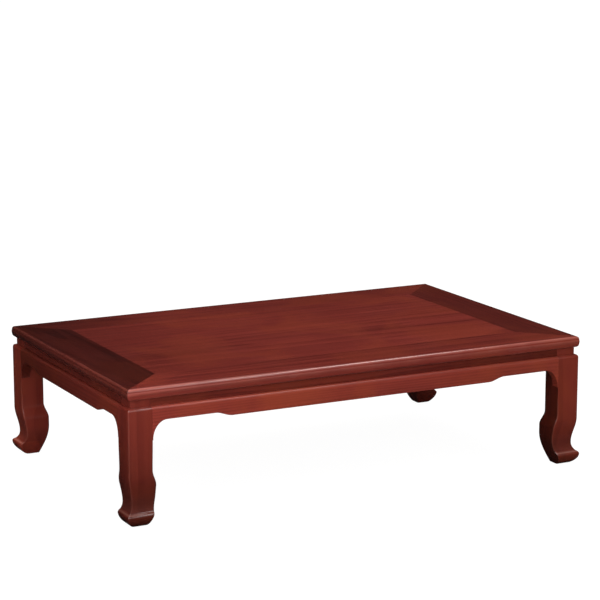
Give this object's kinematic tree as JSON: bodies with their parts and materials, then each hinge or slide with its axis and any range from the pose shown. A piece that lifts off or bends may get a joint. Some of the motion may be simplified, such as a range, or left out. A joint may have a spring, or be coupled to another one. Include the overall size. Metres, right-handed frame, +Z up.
{
  "type": "japanese low table",
  "caption": "Rectangular low floor table with a mitred frame top, flush panel, recessed waist, swept aprons and square legs ending in curled hoof feet.",
  "frame": {"origin": "on the floor, under the centre of the table", "axes": "+X along the long side, to the right seen from the front; +Y from the front to the back; +Z up"},
  "size_m": [1.208, 0.758, 0.322],
  "materials": {
    "panel_wood": "satin gloss lacquer over reddish brown wood, grain along the length",
    "long_rail_wood": "satin gloss lacquer over reddish brown wood, grain along the rail",
    "end_rail_wood": "satin gloss lacquer over reddish brown wood, grain along the rail",
    "base_wood": "satin gloss lacquer over reddish brown wood, grain along the piece",
    "leg_wood": "satin gloss lacquer over reddish brown wood, grain upright",
    "hidden_wood": "bare planed wood",
    "screw_steel": "zinc plated"
  },
  "bodies": {
    "root": {"rail_front": "long_rail_wood", "rail_right": "end_rail_wood", "rail_back": "long_rail_wood", "rail_left": "end_rail_wood", "centre_panel": "panel_wood", "waist_front": "base_wood", "waist_right": "base_wood", "waist_back": "base_wood", "waist_left": "base_wood", "apron_front": "base_wood", "apron_right": "base_wood", "apron_back": "base_wood", "apron_left": "base_wood", "leg_front_left": "leg_wood", "leg_front_right": "leg_wood", "leg_back_right": "leg_wood", "leg_back_left": "leg_wood", "spline_front_left": "hidden_wood", "spline_front_right": "hidden_wood", "spline_back_right": "hidden_wood", "spline_back_left": "hidden_wood", "corner_block_front_left": "hidden_wood", "corner_block_front_right": "hidden_wood", "corner_block_back_right": "hidden_wood", "corner_block_back_left": "hidden_wood", "batten_1": "hidden_wood", "batten_2": "hidden_wood", "batten_3": "hidden_wood", "button_front_1": "hidden_wood", "button_front_2": "hidden_wood", "button_front_3": "hidden_wood", "button_right_1": "hidden_wood", "button_right_2": "hidden_wood", "button_back_1": "hidden_wood", "button_back_2": "hidden_wood", "button_back_3": "hidden_wood", "button_left_1": "hidden_wood", "button_left_2": "hidden_wood", "corner_block_screws": "screw_steel", "button_screws": "screw_steel", "batten_screws": "screw_steel"}
  },
  "joints": []
}
